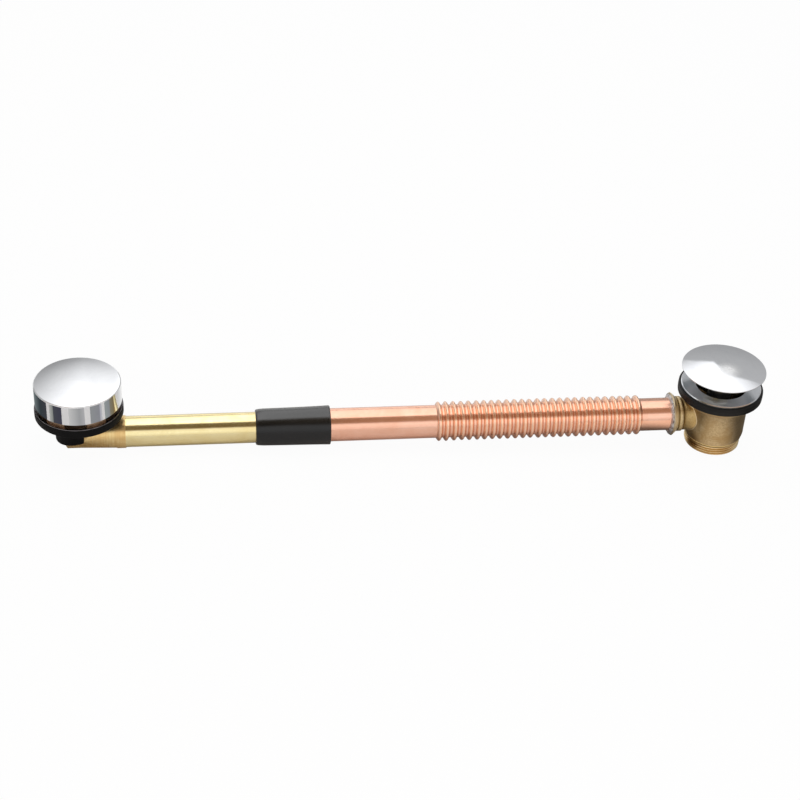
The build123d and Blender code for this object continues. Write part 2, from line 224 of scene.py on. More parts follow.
def threaded_body():
    """The casting with a real thread on its tail.

    The copy's tail is drawn in below the thread's root. Round it lies a closed ring whose outside has the
    radius R - depth * w(p), where p is the phase height / pitch - turn / (2 pi) and w a rounded triangle
    wave. The ring is bevelled at the tail's end, and the wave fades out at the relief. A thin round bead lies
    on the barrel's foot.
    """
    mesh = merged_copy("waste_body", "waste_casting")
    spots = np.empty(len(mesh.vertices) * 3)
    mesh.vertices.foreach_get("co", spots)
    spots = spots.reshape(-1, 3)
    reach = np.hypot(spots[:, 0], spots[:, 1])
    on_tail = (reach > thread_radius - 0.3 * MM) & (spots[:, 2] < thread_length + 0.01 * MM)
    core = thread_radius - thread_depth - 0.4 * MM
    spots[on_tail, :2] *= (core / reach[on_tail])[:, None]
    mesh.vertices.foreach_set("co", spots.ravel())
    smooth_faces(mesh)
    mesh.set_sharp_from_angle(angle=np.radians(28))
    casting = link_object("waste_casting", mesh)

    columns = 144
    rows = 80
    inset = 0.02 * MM
    height = np.linspace(inset, thread_length - 2 * inset, rows)[:, None]
    turn = turns(columns)[None, :]
    phase = height / thread_pitch - turn / (2 * np.pi)
    wave = np.abs(2 * (phase - np.floor(phase)) - 1)
    wave = wave * wave * (3 - 2 * wave)
    fade = np.clip((thread_length - height) / thread_run_in, 0, 1)
    bevel = np.clip((height - inset) / thread_run_in, 0, 1)
    outside_radius = thread_radius - thread_depth * wave * fade - (1 - bevel) ** 2 * 0.8 * MM
    outside_radius = np.maximum(outside_radius, thread_radius - thread_depth)
    outside = about_waste(outside_radius, turn, height)
    inside = about_waste(core - 0.3 * MM, turn, height[[0, -1]])
    points = np.concatenate([outside, inside[::-1]])
    thread = solid_object("tail_thread", points, ring_quads(len(points), columns))
    section = turns(12)[:, None]
    bead_radius = foot_radius + foot_bead * np.cos(section)
    bead = about_waste(bead_radius, turn, foot_height + foot_bead * np.sin(section))
    lip = solid_object("foot_lip", bead, ring_quads(len(section), columns))
    return [stand_for(piece, "waste_body") for piece in (casting, thread, lip)]


def solder_bead():
    """The lumpy solder on the branch's mouth: a ring section whose edge wanders with mixed waves round."""
    columns = 180
    turn = turns(columns)[None, :]
    count = np.array([5, 9, 14, 23, 37])[:, None]
    size = np.array([0.22, 0.20, 0.16, 0.12, 0.08])[:, None] * MM
    shift = chance.uniform(0, 2 * np.pi, (2, 5, 1))
    wander = np.sum(size * np.sin(count * turn + shift[0]), axis=0)[None, :]
    swell = np.sum(size * np.sin(count * turn + shift[1]), axis=0)[None, :]
    face = -solder_high[0]
    section = np.linspace(0, np.pi / 2, 9)[:, None]
    edge = 3.3 * MM + wander
    thick = 1.7 * MM + swell * 0.8
    seat = tube_radius - 0.05 * MM
    top = about_pipe(face + thick * np.sin(section), seat + edge * np.cos(section) ** 1.4, turn)
    under = about_pipe(face - 0.2 * MM, seat + np.stack([0 * edge[0], edge[0]]), turn)
    points = np.concatenate([top, under])
    piece = solid_object("solder_bead", points, ring_quads(len(points), columns))
    return stand_for(piece, "branch_solder")


def round_washer():
    """The rubber washer: a rounded section about the waste axis, with a fine mould line round its middle."""
    columns = 144
    bore = 24.3 * MM
    rim = washer_high[0]
    low, high = washer_low[2], washer_high[2]
    middle = (low + high) / 2
    line = 0.25 * MM
    wall = rim - 0.12 * MM
    corners = [(bore, low), (wall, low), (wall, middle - line), (rim, middle), (wall, middle + line),
               (wall, high), (bore, high)]
    section = rounded_section(corners, 0.1 * MM, 3)
    edge = rounded_section([(bore, low), (wall, low), (wall, high), (bore, high)], 0.9 * MM)
    keep = section[(np.abs(section[:, 1] - middle) < 2 * line) & (section[:, 0] > bore + 2 * MM)]
    half = len(edge) // 2
    section = np.concatenate([edge[:half], keep, edge[half:]])
    points = about_waste(section[:, :1], turns(columns)[None, :], section[:, 1:])
    piece = solid_object("rubber_washer", points, ring_quads(len(section), columns))
    piece.data.set_sharp_from_angle(angle=np.radians(50))
    return stand_for(piece, "waste_washer")


def soft_sleeve():
    """The rubber sleeve: a tapering section with round lips, pulled in a little between the tubes it grips.

    The outside radius falls evenly from end to end, dips by a shallow sine and narrows by a square towards
    the brass tube; a few slow waves round the turn keep it from looking turned.
    """
    columns = 120
    start, end = -sleeve_high[0], -sleeve_low[0]
    reach = (sleeve_high[2] - sleeve_low[2]) / 2
    end_wall = 2.4 * MM
    brass_radius = (brass_high[2] - brass_low[2]) / 2
    copper_end = -copper_low[0]
    along = np.linspace(0, 1, 40)[:, None]
    turn = turns(columns)[None, :]
    lip = 1.1 * MM
    station = start + (end - start) * (0.5 - 0.5 * np.cos(np.pi * along))
    from_end = np.minimum(station - start, end - station)
    drop = np.where(from_end < lip, lip - np.sqrt(np.maximum(lip**2 - (lip - from_end) ** 2, 0)), 0)
    dip = 0.1 * MM * np.sin(np.pi * along) ** 2
    ripple = 0.07 * MM * np.sin(3 * turn + 5 * along) * np.sin(np.pi * along)
    shrunk = 0.6 * MM * np.clip(1 - (end - station) / (7 * MM), 0, 1) ** 2
    outer = reach + (brass_radius + end_wall - reach) * along - drop - dip - shrunk - 0.08 * MM + ripple
    outside = about_pipe(station, outer, turn)
    grip = 0.02 * MM
    bore_station = np.array([end, copper_end, copper_end, start])[:, None]
    bore_radius = np.array([brass_radius, brass_radius, tube_radius, tube_radius])[:, None] + grip
    inside = about_pipe(bore_station, bore_radius, turn)
    points = np.concatenate([outside, inside])
    piece = solid_object("soft_sleeve", points, ring_quads(len(points), columns))
    piece.data.set_sharp_from_angle(angle=np.radians(50))
    return stand_for(piece, "rubber_sleeve")


def round_edged(node, name, width):
    """A merged copy of a moulded rubber node with every sharp edge rounded by a bevel."""
    piece = link_object(name, merged_copy(node, name))
    bevel = piece.modifiers.new("round edges", "BEVEL")
    bevel.width = width
    bevel.segments = 3
    bevel.limit_method = "ANGLE"
    bevel.angle_limit = np.radians(30)
    smooth_faces(piece.data)
    piece.data.set_sharp_from_angle(angle=np.radians(60))
    return stand_for(piece, node)


def wire_spring():
    """The cartridge spring: a round wire along a helix whose first and last turn lie flat and closed.

    The height follows the turn count through a smooth ramp: level over the first and last turn, even between.
    """
    coils = 8
    rows, columns = 420, 12
    wire = 0.55 * MM
    radius = (spring_high[0] - spring_low[0]) / 2 - wire
    along = np.linspace(0, coils, rows)
    climb = np.clip((along - 0.85) / (coils - 1.7), 0, 1)
    height = spring_low[2] + wire + (spring_high[2] - spring_low[2] - 2 * wire) * climb
    angle = 2 * np.pi * along
    path = np.stack([radius * np.cos(angle), radius * np.sin(angle), height], axis=-1)
    outward = np.stack([np.cos(angle), np.sin(angle), np.zeros(rows)], axis=-1)
    forward = np.gradient(path, axis=0)
    forward /= np.linalg.norm(forward, axis=1, keepdims=True)
    upward = np.cross(forward, outward)
    thickness = np.full(rows, wire)
    thickness[[0, -1]] = 0
    turn = turns(columns)[None, :, None]
    around = np.cos(turn) * outward[:, None, :] + np.sin(turn) * upward[:, None, :]
    points = path[:, None, :] + thickness[:, None, None] * around
    piece = solid_object("wire_spring", points, ring_quads(rows, columns, close_rows=False))
    join_doubles(piece.data, 0.001 * MM)
    stand_for(piece, "click_spring")
    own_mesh(piece)
    return piece


# Shared patterns
def new_group(name, inputs, outputs):
    """A shader node group with named float or vector inputs and float outputs, and its two end nodes."""
    tree = bpy.data.node_groups.new(name, "ShaderNodeTree")
    for label, kind, value in inputs:
        socket = tree.interface.new_socket(label, in_out="INPUT", socket_type=kind)
        socket.default_value = value
    for label in outputs:
        tree.interface.new_socket(label, in_out="OUTPUT", socket_type="NodeSocketFloat")
    return tree, tree.nodes.new("NodeGroupInput"), tree.nodes.new("NodeGroupOutput")


def add(tree, kind, links=(), **values):
    """A new node with its sockets set by name; a link is a pair of the socket's name and what feeds it."""
    made = tree.nodes.new(kind)
    for label, value in values.items():
        socket = label.replace("_", " ").title()
        if socket in made.inputs:
            made.inputs[socket].default_value = value
        else:
            setattr(made, label, value)
    for label, source in links:
        tree.links.new(source, made.inputs[label])
    return made


def ranged(tree, value, low, high, start=0.0, end=1.0):
    """Low where the value is at the start and high at the end, even between and level outside."""
    made = add(tree, "ShaderNodeMapRange", [("Value", value)],
               from_min=start, from_max=end, to_min=low, to_max=high)
    return made.outputs["Result"]


def product(tree, first, second):
    return add(tree, "ShaderNodeMath", [(0, first), (1, second)], operation="MULTIPLY").outputs[0]


def mixed(tree, mask, first, second):
    """Between two values by the mask; either may be a socket or a plain number."""
    made = tree.nodes.new("ShaderNodeMix")
    tree.links.new(mask, made.inputs["Factor"])
    for label, source in (("A", first), ("B", second)):
        if isinstance(source, float):
            made.inputs[label].default_value = source
        else:
            tree.links.new(source, made.inputs[label])
    return made.outputs["Result"]


def grain_group():
    """Fine grain: two noises of the given size, the second finer, averaged into a mask about one half."""
    tree, start, end = new_group(
        "metal_grain",
        [("Vector", "NodeSocketVector", (0, 0, 0)), ("Size", "NodeSocketFloat", 400.0)],
        ["Mask"],
    )
    vector, size = start.outputs["Vector"], start.outputs["Size"]
    finer = add(tree, "ShaderNodeMath", [(0, size)], operation="MULTIPLY")
    finer.inputs[1].default_value = 3.1
    coarse = add(tree, "ShaderNodeTexNoise", [("Vector", vector), ("Scale", size)], detail=4.0, roughness=0.6)
    fine = add(tree, "ShaderNodeTexNoise", [("Vector", vector), ("Scale", finer.outputs[0])],
               detail=2.0, roughness=0.5)
    noises = [(0, coarse.outputs["Fac"]), (1, fine.outputs["Fac"])]
    both = add(tree, "ShaderNodeMath", noises, operation="ADD")
    half = add(tree, "ShaderNodeMath", [(0, both.outputs[0])], operation="MULTIPLY")
    half.inputs[1].default_value = 0.5
    tree.links.new(half.outputs[0], end.inputs["Mask"])
    return tree


def streak_group():
    """Drawn or sanded streaks: a noise stretched by given factors along the three axes, made contrasty."""
    tree, start, end = new_group(
        "metal_streaks",
        [("Vector", "NodeSocketVector", (0, 0, 0)), ("Stretch", "NodeSocketVector", (1, 1, 1))],
        ["Mask"],
    )
    factors = [(0, start.outputs["Vector"]), (1, start.outputs["Stretch"])]
    stretched = add(tree, "ShaderNodeVectorMath", factors, operation="MULTIPLY")
    noise = add(tree, "ShaderNodeTexNoise", [("Vector", stretched.outputs[0])],
                scale=1.0, detail=5.0, roughness=0.65)
    tree.links.new(ranged(tree, noise.outputs["Fac"], 0.0, 1.0, 0.3, 0.7), end.inputs["Mask"])
    return tree


def handling_group():
    """Handling marks: slow clouds with soft borders, broken up by a finer noise."""
    tree, start, end = new_group(
        "handling_marks",
        [("Vector", "NodeSocketVector", (0, 0, 0)), ("Size", "NodeSocketFloat", 30.0)],
        ["Mask"],
    )
    vector, size = start.outputs["Vector"], start.outputs["Size"]
    cloud = add(tree, "ShaderNodeTexNoise", [("Vector", vector), ("Scale", size)],
                detail=6.0, roughness=0.7, distortion=0.6)
    tree.links.new(ranged(tree, cloud.outputs["Fac"], 0.0, 1.0, 0.42, 0.68), end.inputs["Mask"])
    return tree


metal_grain = grain_group()
metal_streaks = streak_group()
handling_marks = handling_group()


class Finish:
    """A material on Object coordinates, with short calls for its patterns and their links."""

    def __init__(self, name, **shader):
        self.material = bpy.data.materials.new(name)
        self.material.use_nodes = True
        self.tree = self.material.node_tree
        self.shader = self.tree.nodes["Principled BSDF"]
        for label, value in shader.items():
            self.shader.inputs[label.replace("_", " ").title()].default_value = value
        self.place = self.tree.nodes.new("ShaderNodeTexCoord").outputs["Object"]

    def pattern(self, group, **values):
        made = self.tree.nodes.new("ShaderNodeGroup")
        made.node_tree = group
        self.tree.links.new(self.place, made.inputs["Vector"])
        for label, value in values.items():
            made.inputs[label.title()].default_value = value
        return made.outputs["Mask"]

    def between(self, mask, low, high, start=0.0, end=1.0):
        """Low where the mask is at the start and high at the end."""
        return ranged(self.tree, mask, low, high, start, end)

    def blend(self, mask, first, second):
        """The first colour where the mask is 0 and the second where it is 1; either may be a socket."""
        made = self.tree.nodes.new("ShaderNodeMix")
        made.data_type = "RGBA"
        self.tree.links.new(mask, made.inputs["Factor"])
        for socket, colour in ((made.inputs[6], first), (made.inputs[7], second)):
            if isinstance(colour, bpy.types.NodeSocket):
                self.tree.links.new(colour, socket)
            else:
                socket.default_value = (*colour, 1)
        return made.outputs[2]

    def mixed(self, mask, first, second):
        return mixed(self.tree, mask, first, second)

    def axis(self, letter):
        parts = self.tree.nodes.new("ShaderNodeSeparateXYZ")
        self.tree.links.new(self.place, parts.inputs[0])
        return parts.outputs[letter]

    def off_axis(self, centre, across):
        """The distance from an axis through the centre; across is 1 across the axis and 0 along it."""
        location = [-c * a for c, a in zip(centre, across)]
        shift = add(self.tree, "ShaderNodeMapping", [("Vector", self.place)], location=location, scale=across)
        length = add(self.tree, "ShaderNodeVectorMath", [(0, shift.outputs[0])], operation="LENGTH")
        return length.outputs["Value"]

    def both(self, first, second):
        return product(self.tree, first, second)

    def band(self, value, low, high, soft):
        """1 from low to high and 0 outside, with soft borders."""
        rise = self.between(value, 0.0, 1.0, low - soft, low)
        return self.both(rise, self.between(value, 1.0, 0.0, high, high + soft))

    def feed(self, label, source):
        self.tree.links.new(source, self.shader.inputs[label])

    def relief(self, height, strength, distance):
        """A bump of the given depth from a mask."""
        bump = self.tree.nodes.new("ShaderNodeBump")
        bump.inputs["Strength"].default_value = strength
        bump.inputs["Distance"].default_value = distance
        self.tree.links.new(height, bump.inputs["Height"])
        self.feed("Normal", bump.outputs["Normal"])


def cap_chrome():
    """Mirror plating: a faint cloud of handling marks changes its gloss, and plating waves its reflection."""
    finish = Finish("cap_chrome", metallic=1.0)
    marks = finish.pattern(handling_marks, size=55.0)
    finish.feed("Base Color", finish.blend(marks, (0.83, 0.84, 0.86), (0.79, 0.80, 0.825)))
    finish.feed("Roughness", finish.between(marks, 0.03, 0.07))
    finish.relief(finish.pattern(handling_marks, size=110.0), 0.03, 0.1 * MM)
    return finish.material


def plug_chrome():
    """Bright plating on the plug's dome and rim, dull where it is pushed and whitened there as a painted
    light spot; the underside is blue-grey.
    """
    finish = Finish("plug_chrome", metallic=1.0)
    marks = finish.pattern(handling_marks, size=55.0)
    bright = finish.blend(marks, (0.80, 0.81, 0.835), (0.76, 0.77, 0.80))
    from_thumb = finish.off_axis((2.5 * MM, -7 * MM, 0), (1, 1, 0))
    rubbed = finish.between(from_thumb, 0.85, 0.0, 2 * MM, 12 * MM)
    smear_and_painted_light = finish.both(rubbed, finish.between(finish.pattern(handling_marks, size=130.0), 1.0, 0.8))
    # Where the thumb rubbed, the plating is whitened: a painted light spot; the rougher gloss there is the
    # smear.
    bright = finish.blend(smear_and_painted_light, bright, (0.98, 0.98, 0.98))
    under = finish.between(finish.axis("Z"), 1.0, 0.0, plug_rim_low + 0.1 * MM, plug_rim_low + 0.2 * MM)
    finish.feed("Base Color", finish.blend(under, bright, (0.56, 0.61, 0.66)))
    gloss = finish.mixed(smear_and_painted_light, finish.between(marks, 0.06, 0.11), finish.between(marks, 0.30, 0.36))
    finish.feed("Roughness", finish.mixed(under, gloss, finish.between(marks, 0.5, 0.6)))
    finish.relief(finish.pattern(handling_marks, size=110.0), 0.03, 0.1 * MM)
    return finish.material


def flange_chrome():
    """Bright plating on the dish and its rim; the bore below is painted nearly black as shade, with brassy
    flecks.

    The plating is uneven, so the dish shines as if it lay flatter and leaned a little towards +X.
    """
    finish = Finish("flange_chrome", metallic=1.0)
    marks = finish.pattern(handling_marks, size=55.0)
    flecks = finish.pattern(handling_marks, size=300.0)
    plated = finish.blend(marks, (0.76, 0.78, 0.81), (0.70, 0.72, 0.75))
    # Painted shade: the bore is coloured nearly black where the hole lies in shade, with brassy flecks.
    painted_bore_shade = finish.blend(flecks, (0.012, 0.010, 0.009), (0.11, 0.075, 0.03))
    in_bore = finish.between(finish.off_axis((0, 0, 0), (1, 1, 0)), 1.0, 0.0, 21.5 * MM, 22.0 * MM)
    finish.feed("Base Color", finish.blend(in_bore, plated, painted_bore_shade))
    bright, dull = finish.between(marks, 0.18, 0.26), finish.between(flecks, 0.5, 0.6)
    finish.feed("Roughness", finish.mixed(in_bore, bright, dull))
    flat = add(finish.tree, "ShaderNodeMapping", [("Vector", finish.place)], scale=(1, 1, 0))
    outward = add(finish.tree, "ShaderNodeVectorMath", [(0, flat.outputs[0])], operation="NORMALIZE")
    lean = add(finish.tree, "ShaderNodeVectorMath", [(0, outward.outputs[0])], operation="SCALE")
    lean.inputs["Scale"].default_value = 0.06
    surface = finish.tree.nodes.new("ShaderNodeNewGeometry").outputs["Normal"]
    leaning = add(finish.tree, "ShaderNodeVectorMath", [(0, surface), (1, lean.outputs[0])], operation="ADD")
    askew = add(finish.tree, "ShaderNodeVectorMath", [(0, leaning.outputs[0])], operation="ADD")
    askew.inputs[1].default_value = (0.09, 0, 0)
    finish.feed("Normal", askew.outputs[0])
    return finish.material


def drawn_copper():
    """Polished copper: long draw streaks change tint and gloss, and marks of handling dull it here and there.

    The rings are rubbed paler, with painted shade on their undersides and a dark line along each foot.
    """
    finish = Finish("drawn_copper", metallic=1.0)
    streaks = finish.pattern(metal_streaks, stretch=(8, 420, 420))
    marks = finish.pattern(handling_marks, size=48.0)
    bright = finish.blend(streaks, (0.94, 0.57, 0.43), (0.91, 0.52, 0.375))
    skin = finish.blend(marks, bright, (0.87, 0.47, 0.325))
    reach = finish.off_axis((0, 0, pipe_z), (0, 1, 1))
    raised = finish.between(reach, 0.0, 1.0, tube_radius + 0.3 * MM, tube_radius + 0.6 * MM)
    skin = finish.blend(raised, skin, (0.95, 0.62, 0.46))
    crest = finish.between(reach, 0.0, 1.0, tube_radius + fin_height * 0.6, tube_radius + fin_height * 0.76)
    skin = finish.blend(crest, skin, (0.97, 0.62, 0.44))
    # Painted shade: the rings turn brown on their undersides, below the pipe's middle.
    under = finish.between(finish.axis("Z"), 1.0, 0.0, pipe_z - 14 * MM, pipe_z - 1 * MM)
    skin = finish.blend(finish.both(raised, under), skin, (0.60, 0.29, 0.175))
    foot = finish.band(reach, tube_radius + 0.06 * MM, tube_radius + 0.25 * MM, 0.04 * MM)
    finish.feed("Base Color", finish.blend(foot, skin, (0.62, 0.32, 0.19)))
    finish.feed("Roughness", finish.between(streaks, 0.18, 0.26))
    finish.relief(streaks, 0.10, 0.05 * MM)
    return finish.material


def polished_brass():
    """Polished drawn brass tube with fine lengthwise streaks."""
    finish = Finish("polished_brass", metallic=1.0)
    streaks = finish.pattern(metal_streaks, stretch=(6, 380, 380))
    marks = finish.pattern(handling_marks, size=42.0)
    bright = finish.blend(streaks, (0.90, 0.79, 0.46), (0.86, 0.73, 0.39))
    finish.feed("Base Color", finish.blend(marks, bright, (0.82, 0.67, 0.33)))
    finish.feed("Roughness", finish.between(streaks, 0.14, 0.23))
    finish.relief(streaks, 0.08, 0.05 * MM)
    return finish.material


def painted_foot_shade(finish):
    """Mask of painted shade, in brown, on the casting's foot below the branch."""
    away = finish.off_axis((-21 * MM, -12 * MM, 9 * MM), (1, 1, 1))
    patches = finish.between(finish.pattern(handling_marks, size=140.0), 0.95, 0.5)
    return finish.both(finish.between(away, 1.0, 0.0, 3.5 * MM, 11 * MM), patches)


def cast_brass():
    """Sand-cast brass: grainy and satin with browner clouds.

    The neck is smoother and yellower; its joint with the barrel is a painted highlight, the collar is painted
    pale as a highlight, and the grooves, the relief and the foot below the branch are darkened brown as
    painted shade.
    """
    branch_start = -12 * MM
    collar_start = -31.9 * MM
    collar_ring = (-35.6 * MM, -32.6 * MM)
    collar_edge = -40.6 * MM
    finish = Finish("cast_brass", metallic=1.0)
    grain = finish.between(finish.pattern(metal_grain, size=650.0), 0.0, 1.0, 0.36, 0.64)
    clouds = finish.pattern(handling_marks, size=75.0)
    x, z = finish.axis("X"), finish.axis("Z")
    off_pipe = finish.off_axis((0, 0, pipe_z), (0, 1, 1))
    skin = finish.blend(grain, (0.35, 0.245, 0.125), (0.60, 0.465, 0.275))
    skin = finish.blend(clouds, skin, (0.38, 0.25, 0.11))
    at_branch = finish.between(x, 1.0, 0.0, branch_start - 1 * MM, branch_start)
    on_neck = finish.between(off_pipe, 1.0, 0.0, neck_radius + 0.1 * MM, neck_radius + 0.5 * MM)
    on_neck = finish.both(on_neck, at_branch)
    dressed = finish.blend(grain, (0.36, 0.245, 0.10), (0.56, 0.395, 0.18))
    skin = finish.blend(on_neck, skin, dressed)
    # Painted highlight: the collar's slope is coloured pale.
    on_collar = finish.between(x, 1.0, 0.0, collar_start - 0.3 * MM, collar_start)
    skin = finish.blend(on_collar, skin, finish.blend(grain, (0.92, 0.80, 0.58), (0.98, 0.92, 0.74)))
    on_ring = finish.band(x, *collar_ring, 0.1 * MM)
    skin = finish.blend(on_ring, skin, finish.blend(grain, (0.58, 0.45, 0.25), (0.78, 0.62, 0.37)))
    on_edge = finish.between(x, 1.0, 0.0, collar_edge - 0.2 * MM, collar_edge)
    skin = finish.blend(on_edge, skin, (0.52, 0.42, 0.27))
    # Painted highlight: a bright band along the neck's joint with the barrel.
    past_collar = finish.band(x, -28 * MM, branch_start - 1 * MM, 1 * MM)
    joint = finish.band(off_pipe, neck_radius + 0.2 * MM, neck_radius + 0.7 * MM, 0.08 * MM)
    skin = finish.blend(finish.both(joint, past_collar), skin, (0.88, 0.72, 0.45))
    # Painted shade: the grooves and the relief are darkened brown.
    grooves = [(x, -36.8, -35.7), (x, -32.5, -31.4), (z, 7.9, 9.2)]
    for place, low, high in grooves:
        painted_groove_shade = finish.band(place, low * MM, high * MM, 0.12 * MM)
        skin = finish.blend(painted_groove_shade, skin, (0.20, 0.125, 0.045))
    # Painted shade: the foot below the branch is darkened brown.
    finish.feed("Base Color", finish.blend(painted_foot_shade(finish), skin, (0.20, 0.105, 0.03)))
    cast, smoother = finish.between(grain, 0.30, 0.44), finish.between(grain, 0.26, 0.38)
    finish.feed("Roughness", finish.mixed(on_neck, cast, smoother))
    finish.relief(grain, 0.6, 0.12 * MM)
    return finish.material


def threaded_brass():
    """Cut brass thread: bright crests with fine turning lines, brown in the roots."""
    finish = Finish("threaded_brass", metallic=1.0)
    lines = finish.pattern(metal_streaks, stretch=(40, 40, 2600))
    marks = finish.pattern(handling_marks, size=120.0)
    bright = finish.blend(lines, (0.90, 0.74, 0.46), (0.80, 0.62, 0.34))
    bright = finish.blend(marks, bright, (0.64, 0.46, 0.22))
    reach = finish.off_axis((0, 0, 0), (1, 1, 0))
    root = finish.between(reach, 1.0, 0.0, thread_radius - 1.2 * MM, thread_radius - 0.3 * MM)
    skin = finish.blend(root, bright, (0.52, 0.34, 0.15))
    # Painted shade: the thread below the branch is darkened brown.
    finish.feed("Base Color", finish.blend(painted_foot_shade(finish), skin, (0.24, 0.13, 0.04)))
    finish.feed("Roughness", finish.between(lines, 0.22, 0.34))
    return finish.material


def sanded_brass():
    """Brass casting dressed on a belt: scratches across the pipe, orange-brown clouds, warm and satin."""
    finish = Finish("sanded_brass", metallic=1.0)
    scratches = finish.pattern(metal_streaks, stretch=(1300, 50, 50))
    clouds = finish.pattern(handling_marks, size=70.0)
    base = finish.blend(scratches, (0.89, 0.71, 0.36), (0.73, 0.50, 0.21))
    finish.feed("Base Color", finish.blend(clouds, base, (0.68, 0.42, 0.16)))
    finish.feed("Roughness", finish.between(scratches, 0.26, 0.40))
    finish.relief(scratches, 0.25, 0.06 * MM)
    return finish.material


def turned_brass():
    """Turned brass of the hidden pieces, with lathe lines."""
    finish = Finish("turned_brass", metallic=1.0)
    lines = finish.pattern(metal_streaks, stretch=(30, 30, 2200))
    finish.feed("Base Color", finish.blend(lines, (0.82, 0.65, 0.32), (0.72, 0.54, 0.25)))
    finish.feed("Roughness", finish.between(lines, 0.20, 0.32))
    return finish.material


def plated_brass():
    """The insert: thin bright plating on the rim, and on the windowed ring inside it brass painted dull dark
    brown as shade under the cap.
    """
    finish = Finish("plated_brass", metallic=1.0)
    reach = finish.off_axis((head_x, 0, 0), (1, 1, 0))
    on_rim = finish.between(reach, 0.0, 1.0, 33.4 * MM, 34.2 * MM)
    marks = finish.pattern(handling_marks, size=160.0)
    # Painted shade: the windowed ring under the cap is coloured dull dark brown.
    dull = finish.blend(marks, (0.42, 0.29, 0.19), (0.20, 0.13, 0.08))
    rim = finish.blend(marks, (0.21, 0.20, 0.21), (0.06, 0.055, 0.06))
    finish.feed("Base Color", finish.blend(on_rim, dull, rim))
    inner, outer = finish.between(marks, 0.38, 0.55), finish.between(marks, 0.2, 0.35)
    finish.feed("Roughness", finish.mixed(on_rim, inner, outer))
    return finish.material


def rubber(name, dark, light, low, high, size, shine=0.5):
    """Moulded rubber or plastic: fine pores, and a faint bloom in clouds."""
    finish = Finish(name)
    finish.shader.inputs["Specular IOR Level"].default_value = shine
    bloom = finish.pattern(handling_marks, size=size)
    pores = finish.pattern(metal_grain, size=1500.0)
    finish.feed("Base Color", finish.blend(bloom, dark, light))
    finish.feed("Roughness", finish.between(pores, low, high, 0.3, 0.7))
    finish.relief(pores, 0.25, 0.05 * MM)
    return finish


def sleeve_rubber():
    """Charcoal rubber whose specular level rises along its upper side, a painted sheen."""
    finish = rubber("grey_rubber", (0.001, 0.001, 0.0012), (0.003, 0.0029, 0.0031), 0.2, 0.3, 50.0)
    # Painted sheen: the specular level is raised along the sleeve's upper side.
    shine = finish.between(finish.axis("Z"), 0.42, 1.0, pipe_z + 10.5 * MM, pipe_z + 13.5 * MM)
    finish.feed("Specular IOR Level", shine)
    return finish


def soft_solder():
    """Soft solder: grey-white metal with frosty patches and small dark flux spots."""
    finish = Finish("soft_solder", metallic=1.0)
    frost = finish.pattern(metal_grain, size=700.0)
    spots = finish.pattern(handling_marks, size=420.0)
    grey = finish.blend(frost, (0.66, 0.65, 0.66), (0.90, 0.89, 0.90))
    grey = finish.blend(spots, grey, (0.28, 0.25, 0.23))
    reach = finish.off_axis((0, 0, pipe_z), (0, 1, 1))
    edge = finish.between(reach, 0.0, 1.0, tube_radius + 2.6 * MM, tube_radius + 3.3 * MM)
    finish.feed("Base Color", finish.blend(finish.both(edge, spots), grey, (0.05, 0.035, 0.02)))
    finish.feed("Roughness", finish.between(frost, 0.4, 0.6))
    finish.relief(frost, 0.4, 0.1 * MM)
    return finish.material


def cartridge_plastic():
    """Natural moulded plastic with a fine satin grain."""
    finish = Finish("cartridge_plastic")
    grain = finish.pattern(metal_grain, size=1200.0)
    finish.feed("Base Color", finish.blend(grain, (0.78, 0.77, 0.72), (0.84, 0.83, 0.79)))
    finish.feed("Roughness", finish.between(grain, 0.35, 0.5))
    return finish.material


def spring_steel():
    """Bright spring wire with fine draw marks."""
    finish = Finish("spring_steel", metallic=1.0)
    marks = finish.pattern(metal_grain, size=900.0)
    finish.feed("Base Color", finish.blend(marks, (0.56, 0.56, 0.57), (0.68, 0.68, 0.69)))
    finish.feed("Roughness", finish.between(marks, 0.22, 0.36))
    return finish.material


def wear(piece, material):
    """Gives a piece its one material."""
    piece.data.materials.clear()
    piece.data.materials.append(material)
    piece.data.polygons.foreach_set("material_index", np.zeros(len(piece.data.polygons), np.int32))


# Pieces and finishes
soot, bloom = (0.002, 0.0018, 0.002), (0.0045, 0.004, 0.0042)
black_rubber = rubber("black_rubber", soot, bloom, 0.5, 0.68, 60.0, 0.1).material
washer_rubber = rubber("washer_rubber", soot, bloom, 0.3, 0.42, 60.0, 0.22).material
silicone = rubber("pale_silicone", (0.66, 0.68, 0.71), (0.74, 0.76, 0.79), 0.45, 0.6, 60.0).material
black_plastic = rubber("black_plastic", (0.025, 0.025, 0.025), (0.035, 0.035, 0.034), 0.4, 0.55, 90.0, 0.3)
turned = turned_brass()
plastic = cartridge_plastic()

casting, thread, lip = threaded_body()
finishes = [
    (corrugated_tube(), drawn_copper()),
    (casting, cast_brass()),
    (thread, threaded_brass()),
    (lip, turned),
    (solder_bead(), soft_solder()),
    (round_washer(), washer_rubber),
    (soft_sleeve(), sleeve_rubber().material),
    (round_edged("overflow_gasket", "soft_gasket", 0.35 * MM), black_rubber),
    (wire_spring(), spring_steel()),
    (nodes["brass_tube"], polished_brass()),
    (nodes["overflow_elbow"], sanded_brass()),
    (nodes["overflow_insert"], plated_brass()),
    (nodes["overflow_cap"], cap_chrome()),
    (nodes["waste_flange"], flange_chrome()),
    (nodes["plug_cap"], plug_chrome()),
    (nodes["cartridge_housing"], black_plastic.material),
    (nodes["seal_nut"], plastic),
    (nodes["plug_stem"], turned),
    (nodes["cartridge_bush"], plastic),
    (nodes["click_rotor"], plastic),
    (nodes["plug_seal"], silicone),
    (nodes["cap_o_ring"], black_rubber),
]
for piece, material in finishes:
    wear(piece, material)


